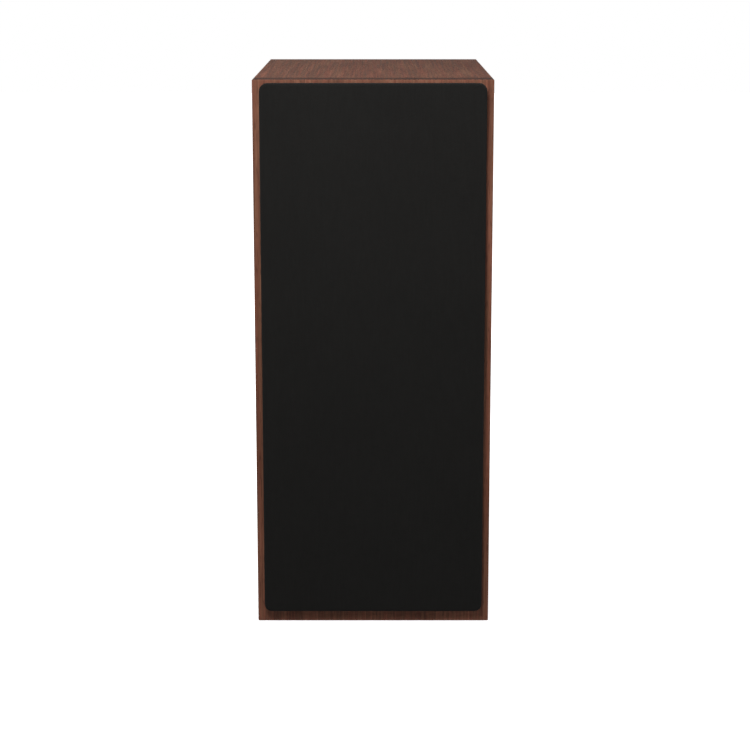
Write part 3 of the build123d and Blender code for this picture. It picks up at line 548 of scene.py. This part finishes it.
def ridges(tree, axis, radians_per_metre):
    """Even ridges across one axis of the piece, as turns of wire or threads leave."""
    along_axis = put(tree, "ShaderNodeSeparateXYZ", {0: placed(tree)}).outputs[axis]
    return sums(tree, "SINE", sums(tree, "MULTIPLY", along_axis, radians_per_metre))


winding, tree, shader = new_finish("enamelled_copper", Metallic=0.9)
warm = noise_at(tree, placed(tree), 120.0, 3.0)
copper = ramp(tree, warm, (0.3, (0.32, 0.11, 0.045)), (0.7, (0.52, 0.22, 0.10)))
paint(tree, shader, copper, ranged(tree, warm, 0.28, 0.42))
relief(tree, shader, ridges(tree, "Y", 14000.0), 0.0001)

for place, centre in woofers:
    face = []
    for step in range(cone_steps + 1):
        radius = lip_inner + (neck_radius - lip_inner) * step / cone_steps
        face.append((cone_depth_at(radius), radius))
    reverse = [(depth + paper_skin, radius) for depth, radius in reversed(face)]
    outline = [(ledge, cone_lip)] + face + reverse + [(ledge + paper_skin, cone_lip)]
    cone_mesh = turned_mesh(f"{place}_paper_cone", outline, centre)
    cone = add_piece(f"{place}_paper_cone", cone_mesh, cone_paper, f"{place}_cone", 50)
    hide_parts(f"{place}_woofer_cone")
    dress(cap_paper, f"{place}_woofer_dust_cap")
    dress(winding, f"{place}_woofer_voice_coil")


# ---- Woofer spiders: a disc of pressed, resin-stiffened cotton that centres each coil ----
# Its edge is glued to the basket's ledge and its bore to the former. The folds let it follow the cone.
cotton, tree, shader = new_finish("spider_cotton", Roughness=0.85, Specular_IOR_Level=0.2, Sheen_Weight=0.2)
cotton_weave = sums(tree, "MULTIPLY", ridges(tree, "X", 7000.0), ridges(tree, "Z", 7000.0))
resin = noise_at(tree, placed(tree), 90.0, 3.0)
paint(tree, shader, ramp(tree, resin, (0.3, (0.42, 0.24, 0.08)), (0.7, (0.62, 0.42, 0.19))))
relief(tree, shader, cotton_weave, 0.0001)

spider_bore = 0.01325
spider_edge = 0.0359
spider_seat = 0.035
spider_skin = 0.0008
fold_height = 0.0015
fold_start = 0.0165
fold_end = 0.0290
fold_count = 5
spider_steps = 90
for place, centre in woofers:
    front_line = []
    for step in range(spider_steps + 1):
        radius = spider_bore + (spider_edge - spider_bore) * step / spider_steps
        share = min(max((radius - fold_start) / (fold_end - fold_start), 0.0), 1.0)
        crest = fold_height * (1 - cos(tau * fold_count * share)) / 2
        front_line.append((spider_seat - spider_skin - crest, radius))
    outline = front_line + [(depth + spider_skin, radius) for depth, radius in reversed(front_line)]
    spider_mesh = turned_mesh(f"{place}_spider", outline, centre, 96)
    spider = add_piece(f"{place}_spider", spider_mesh, cotton, None, 60)
    follow_by_radius(spider)
    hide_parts(f"{place}_woofer_spider")


# ---- Driver motors: zinc-plated steel plates and yokes clamped round dark ferrite ring magnets ----
# The steel is turned and plated, with a fine spangle. The ferrite is ground, and slightly mottled.
def plated_steel(name, tone, roughness):
    """Bright plating with a fine spangle."""
    material, tree, shader = new_finish(name, Metallic=1.0)
    spangle = put(tree, "ShaderNodeTexVoronoi", {"Vector": placed(tree), "Scale": 260.0}).outputs["Distance"]
    haze = noise_at(tree, placed(tree), 35.0, 4.0)
    colour = ramp(tree, spangle, (0.0, tints(tone, 0.82)[0]), (0.8, tone))
    paint(tree, shader, colour, ranged(tree, haze, roughness - 0.07, roughness + 0.1))
    relief(tree, shader, haze, 0.0002, 0.4)
    return material


zinc = plated_steel("zinc_plate", (0.56, 0.55, 0.52), 0.36)
ferrite = cast_finish("ground_ferrite", (0.040, 0.040, 0.044), 0.55, 500.0, 0.00015)
for place in ("upper_woofer", "lower_woofer", "tweeter"):
    dress(zinc, f"{place}_top_plate", f"{place}_yoke")
    dress(ferrite, f"{place}_magnet")


# ---- Tweeter: a satin black faceplate round a coated textile dome ----
# The plate is turned alloy, anodised, with a shallow flare towards the dome. The dome and its small
# roll are fine silk with a tacky black coating, glued to the plate's rim, and move as one.
tweeter_low, tweeter_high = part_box("tweeter_faceplate")
tweeter_centre = Vector((0, front_face_y, (tweeter_low.z + tweeter_high.z) / 2))


def turned_marks(tree, centre, rings_per_metre):
    """Fine rings about a driver's axis, as a lathe leaves them."""
    own = put(tree, "ShaderNodeTexCoord", {}).outputs["Object"]
    away = put(tree, "ShaderNodeVectorMath", {0: own, 1: tuple(centre)}, operation="SUBTRACT").outputs[0]
    flat = put(tree, "ShaderNodeVectorMath", {0: away, 1: (1, 0, 1)}, operation="MULTIPLY").outputs[0]
    radius = put(tree, "ShaderNodeVectorMath", {0: flat}, operation="LENGTH").outputs["Value"]
    ring_number = sums(tree, "MULTIPLY", radius, rings_per_metre)
    line = put(tree, "ShaderNodeCombineXYZ", {"X": ring_number}).outputs["Vector"]
    return noise_at(tree, line, 1.0, 3.0, 0.7)


plate, tree, shader = new_finish("black_anodised", Specular_IOR_Level=0.6, Metallic=0.35)
rings = turned_marks(tree, tweeter_centre, 5200.0)
anodised = ramp(tree, rings, (0.3, (0.016, 0.016, 0.017)), (0.7, (0.032, 0.032, 0.034)))
paint(tree, shader, anodised, ranged(tree, rings, 0.30, 0.46))
relief(tree, shader, rings, 0.00003)
dress(plate, "tweeter_faceplate")


def woven(name, tone, pitch, depth, roughness, sheen):
    """Plain-woven cloth with its threads crossing over and under at a pitch, its colour painted darker in the
    hollows between threads (painted shade) and lighter on their crests (painted highlight).
    """
    sheens = {"Sheen_Weight": sheen, "Sheen_Roughness": 0.5}
    material, tree, shader = new_finish(name, Roughness=roughness, Specular_IOR_Level=0.05, **sheens)
    xyz = put(tree, "ShaderNodeSeparateXYZ", {0: placed(tree)})
    run = tau / (2 * pitch)
    warp_place = sums(tree, "MULTIPLY", sums(tree, "ADD", xyz.outputs["X"], xyz.outputs["Y"]), run)
    weft_place = sums(tree, "MULTIPLY", sums(tree, "SUBTRACT", xyz.outputs["Z"], xyz.outputs["Y"]), run)
    warp = sums(tree, "ABSOLUTE", sums(tree, "SINE", warp_place))
    weft = sums(tree, "ABSOLUTE", sums(tree, "SINE", weft_place))
    over = sums(tree, "MULTIPLY", sums(tree, "COSINE", warp_place), sums(tree, "COSINE", weft_place))
    height = sums(tree, "ADD", sums(tree, "MULTIPLY", warp, weft), sums(tree, "MULTIPLY", over, 0.35))
    slub = noise_at(tree, placed(tree, (1, 1, 0.08)), 900.0, 3.0)
    drift = noise_at(tree, placed(tree), 14.0, 3.0)
    # Painted shade and highlight: the colour follows the thread height, darkest in the hollows and lightest
    # on the crests.
    dark, light = tints(tone, 0.45, 1.35)
    colour = ramp(tree, height, (0.05, dark), (0.5, tone), (1.0, light))
    colour = mixed(tree, 0.35, colour, ramp(tree, slub, (0.3, 0.7), (0.7, 1.0)), "MULTIPLY")
    colour = mixed(tree, 0.25, colour, ramp(tree, drift, (0.35, 0.8), (0.65, 1.0)), "MULTIPLY")
    paint(tree, shader, colour)
    relief(tree, shader, height, depth)
    return material


dome_silk = woven("coated_silk", (0.020, 0.020, 0.021), 0.00035, 0.00004, 0.5, 0.15)
dress(dome_silk, "tweeter_dome")
silk_seat = 0.0039
silk_skin = 0.0005
silk_inner = 0.0125
silk_outer = 0.0159
silk_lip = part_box("tweeter_surround")[1].x - lip_clearance
outline = roll_outline(silk_seat, silk_skin, silk_inner, silk_outer, silk_inner - lip_clearance, silk_lip, 12)
silk_mesh = turned_mesh("silk_roll", outline, tweeter_centre, 96)
silk_roll = add_piece("silk_roll", silk_mesh, dome_silk, None, 60)
follow_by_radius(silk_roll)
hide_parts("tweeter_surround")
dress(winding, "tweeter_voice_coil")


# ---- Mouldings at the back: the port tube, the tweeter's rear chamber and the terminal cup ----
# All three are moulded in black plastic, with a fine spark-eroded grain on the faces that show.
moulded = cast_finish("black_moulding", (0.021, 0.021, 0.022), 0.48, 1100.0, 0.00008)
dress(moulded, "port_tube", "tweeter_rear_chamber", "terminal_cup")
dress(foam, "terminal_gasket")


# ---- Binding posts: gold-plated brass studs, each with a clamping collar and a fluted knob ----
# The knobs are glossy moulded caps, red for positive and black for negative, and screw out with
# their collars to take bare wire. Gold-plated nuts hold the studs inside.
gold = plated_steel("gold_plate", (0.86, 0.60, 0.24), 0.22)
dress(gold, "terminal_posts", "post_nuts", "positive_post_collar", "negative_post_collar")


def glossy_cap(name, tone):
    """Clear-coated moulded plastic with a faint flow in its colour."""
    material, tree, shader = new_finish(name, Coat_Weight=0.5, Coat_Roughness=0.08)
    flow = noise_at(tree, placed(tree), 160.0, 3.0, 0.5, 1.0)
    colour = ramp(tree, flow, (0.3, tints(tone, 0.8)[0]), (0.7, tone))
    paint(tree, shader, colour, ranged(tree, flow, 0.2, 0.32))
    relief(tree, shader, flow, 0.00004)
    return material


dress(glossy_cap("red_cap", (0.42, 0.012, 0.012)), "positive_post_knob")
dress(glossy_cap("black_cap", (0.016, 0.016, 0.016)), "negative_post_knob")


# ---- Crossover: a glass-epoxy board on nylon snap-ins, with its coils, capacitors and resistors ----
# The coils are wound copper, the capacitors are rolled film in yellow tape, and the resistors are
# cement-filled ceramic.
lacquer, tree, shader = new_finish("board_lacquer", Roughness=0.35)
glass = noise_at(tree, placed(tree), 600.0, 3.0)
traces = noise_at(tree, placed(tree), 55.0, 0.0, 0.5, 0.0)
green = ramp(tree, glass, (0.3, (0.012, 0.10, 0.035)), (0.7, (0.022, 0.16, 0.06)))
copper_runs = ramp(tree, traces, (0.47, 0.0), (0.48, 1.0), (0.52, 1.0), (0.53, 0.0))
paint(tree, shader, mixed(tree, copper_runs, green, (0.04, 0.22, 0.08, 1)))
relief(tree, shader, copper_runs, 0.00005)
dress(lacquer, "crossover_board")
dress(cast_finish("natural_nylon", (0.72, 0.71, 0.66), 0.5, 300.0, 0.0001), "board_supports")
dress(cast_finish("cement_ceramic", (0.70, 0.69, 0.65), 0.8, 700.0, 0.0003), "crossover_resistors")

coil_wire, tree, shader = new_finish("wound_copper", Metallic=0.9)
wire_tone = noise_at(tree, placed(tree, (1, 1, 4)), 150.0, 3.0)
wire_colour = ramp(tree, wire_tone, (0.3, (0.34, 0.12, 0.05)), (0.7, (0.55, 0.24, 0.11)))
paint(tree, shader, wire_colour, ranged(tree, wire_tone, 0.25, 0.4))
relief(tree, shader, ridges(tree, "Z", 6300.0), 0.0004)
dress(coil_wire, "crossover_coils")

tape, tree, shader = new_finish("yellow_tape", Roughness=0.3, Coat_Weight=0.3)
tape_tone = noise_at(tree, placed(tree), 90.0, 3.0)
paint(tree, shader, ramp(tree, tape_tone, (0.3, (0.55, 0.33, 0.03)), (0.7, (0.70, 0.46, 0.07))))
relief(tree, shader, sums(tree, "ADD", ridges(tree, "Y", 500.0), tape_tone), 0.0001)
dress(tape, "crossover_capacitors")


# ---- Tags and leads: tinned blades on black strips, joined to the board by insulated wire ----
# The wire runs back from each driver's blades and down to the board, and from there to the posts.
dress(moulded, "tag_strips")
dress(plated_steel("tinned_brass", (0.66, 0.65, 0.62), 0.3), "driver_tags")
sleeve, tree, shader = new_finish("lead_sleeve", Roughness=0.4)
wave_inputs = {"Vector": placed(tree), "Scale": 60.0, "Distortion": 2.0}
waves = put(tree, "ShaderNodeTexWave", wave_inputs).outputs["Fac"]
paint(tree, shader, ramp(tree, waves, (0.2, (0.33, 0.018, 0.016)), (0.8, (0.42, 0.026, 0.022))))
relief(tree, shader, noise_at(tree, placed(tree), 800.0, 2.0), 0.00006)
dress(sleeve, "driver_leads", "input_leads")


# ---- Screws: sixteen countersunk steel screws with hexagon sockets, blackened ----
# Four hold each driver to the baffle, and four hold the terminal cup to the rear panel.
oxide, tree, shader = new_finish("black_oxide", Metallic=0.8)
worn = noise_at(tree, placed(tree), 500.0, 4.0, 0.6)
blacking = ramp(tree, worn, (0.3, (0.022, 0.022, 0.023)), (0.75, (0.055, 0.055, 0.056)))
paint(tree, shader, blacking, ranged(tree, worn, 0.32, 0.5))
relief(tree, shader, worn, 0.00005)
dress(oxide, "mounting_screws")


# ---- Grille frame and magnets: a black moulded frame, held to the baffle by six pairs of magnets ----
# The frame is one flat moulding with rounded corners. The magnets are nickel-plated discs, pressed
# into its back and sunk behind the baffle's face.
dress(cast_finish("frame_moulding", (0.016, 0.016, 0.017), 0.55, 1000.0, 0.0001), "grille_frame")
dress(plated_steel("nickel_plate", (0.66, 0.64, 0.60), 0.2), "grille_magnets", "baffle_magnets")


# ---- Grille cloth: one piece of black polyester knit, stretched over the frame ----
# It is pulled tight across the window, rolls over the frame's rounded front edge, runs down its
# sides and is glued along the back of them. Small gathers form where it turns the four corners.
grille_black = woven("black_grille_cloth", (0.0135, 0.0130, 0.0123), 0.0006, 0.00008, 0.95, 0.03)
cloth_low, cloth_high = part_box("grille_cloth")
frame_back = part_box("grille_frame")[1].y
half_wide = (cloth_high.x - cloth_low.x) / 2
half_tall = (cloth_high.z - cloth_low.z) / 2
cloth_centre = (cloth_low + cloth_high) / 2
cloth_front = cloth_low.y
glue_line = 0.0002
cloth_back = frame_back - glue_line
hem_width = 0.0007
corner_round = 0.006
roll_radius = 0.0016
frame_bar = 0.0128
window_hollow = 0.0004
hollow_rise_x = 3
hollow_rise_z = 6
gather_height = 0.00018
gather_waves = 7
gather_reach = 0.014
gather_fade = 0.006
rim_step = 0.0004
least_round = 0.001


def threads(half, fine=(0.0, 0.0009, 0.0019, 0.003, 0.0043, 0.006, 0.008, 0.0105), step=0.0055):
    """Places along a side, close together near its ends and even between them."""
    inner = half - fine[-1] - step
    count = max(2, round(2 * inner / step))
    middle = [-inner + 2 * inner * k / count for k in range(count + 1)]
    return [-half + f for f in fine] + middle + [half - f for f in reversed(fine)]


def rounded(x, z, half_x, half_z, radius):
    """A point of a square-cornered outline moved in onto the rounded one."""
    over_x, over_z = abs(x) - (half_x - radius), abs(z) - (half_z - radius)
    if over_x <= 0 or over_z <= 0:
        return x, z
    reach = hypot(over_x, over_z)
    return (copysign(half_x - radius + over_x / reach * radius, x),
            copysign(half_z - radius + over_z / reach * radius, z))


skin = bmesh.new()
face_half_x, face_half_z = half_wide - roll_radius, half_tall - roll_radius
face_x = threads(face_half_x)
face_z = threads(face_half_z)
columns = []
for x in face_x:
    column = []
    for z in face_z:
        deep_x = max(0.0, 1 - (x / (half_wide - frame_bar)) ** 2)
        deep_z = max(0.0, 1 - (z / (half_tall - frame_bar)) ** 2)
        hollow = window_hollow * min(1.0, hollow_rise_x * deep_x) * min(1.0, hollow_rise_z * deep_z)
        on_rim = x in (face_x[0], face_x[-1]) or z in (face_z[0], face_z[-1])
        inset = 0.0 if on_rim else rim_step
        place_x, place_z = rounded(x, z, face_half_x - inset, face_half_z - inset, corner_round - roll_radius)
        place = (cloth_centre.x + place_x, cloth_front + hollow, cloth_centre.z + place_z)
        column.append(skin.verts.new(place))
    columns.append(column)
for i in range(len(face_x) - 1):
    for k in range(len(face_z) - 1):
        skin.faces.new((columns[i][k], columns[i + 1][k], columns[i + 1][k + 1], columns[i][k + 1]))
last_x, last_z = len(face_x) - 1, len(face_z) - 1
rim = [(i, 0) for i in range(last_x)] + [(last_x, k) for k in range(last_z)]
rim += [(i, last_z) for i in range(last_x, 0, -1)] + [(0, k) for k in range(last_z, 0, -1)]
loop = [columns[i][k] for i, k in rim]
roll_steps = 6
side_steps = 5
rows = []
for step in range(1, roll_steps + 1):
    angle = pi / 2 * step / roll_steps
    rows.append((roll_radius * (1 - sin(angle)), cloth_front + roll_radius * (1 - cos(angle)), 0.0))
side_start = cloth_front + roll_radius
for step in range(1, side_steps + 1):
    share = step / side_steps
    rows.append((0.0, side_start + (cloth_back - side_start) * share, share))
rows.append((hem_width, cloth_back, 1.0))
for inset, depth, gather in rows:
    next_loop = []
    half_x, half_z = half_wide - inset, half_tall - inset
    for i, k in rim:
        x = face_x[i] * half_x / face_half_x
        z = face_z[k] * half_z / face_half_z
        x, z = rounded(x, z, half_x, half_z, max(corner_round - inset, least_round))
        past_side = abs(x) + abs(z) - (half_wide + half_tall - gather_reach)
        in_corner = min(1.0, max(0.0, past_side / gather_fade))
        turn = atan2(abs(z) - (half_tall - corner_round), abs(x) - (half_wide - corner_round))
        pucker = gather_height * gather * in_corner * (cos(turn * 4 * gather_waves) - 1) / 2
        corner_x = copysign(half_wide - corner_round, x)
        corner_z = copysign(half_tall - corner_round, z)
        outward = Vector((x - corner_x, 0, z - corner_z))
        shift = outward.normalized() * pucker if in_corner > 0 else Vector((0, 0, 0))
        next_loop.append(skin.verts.new((cloth_centre.x + x + shift.x, depth, cloth_centre.z + z + shift.z)))
    for n in range(len(rim)):
        after = (n + 1) % len(rim)
        skin.faces.new((loop[n], loop[after], next_loop[after], next_loop[n]))
    loop = next_loop
bmesh.ops.recalc_face_normals(skin, faces=skin.faces)
cloth_mesh = bpy.data.meshes.new("stretched_cloth")
skin.to_mesh(cloth_mesh)
skin.free()
stretched_cloth = add_piece("stretched_cloth", cloth_mesh, grille_black, "grille", 80)
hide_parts("grille_cloth")
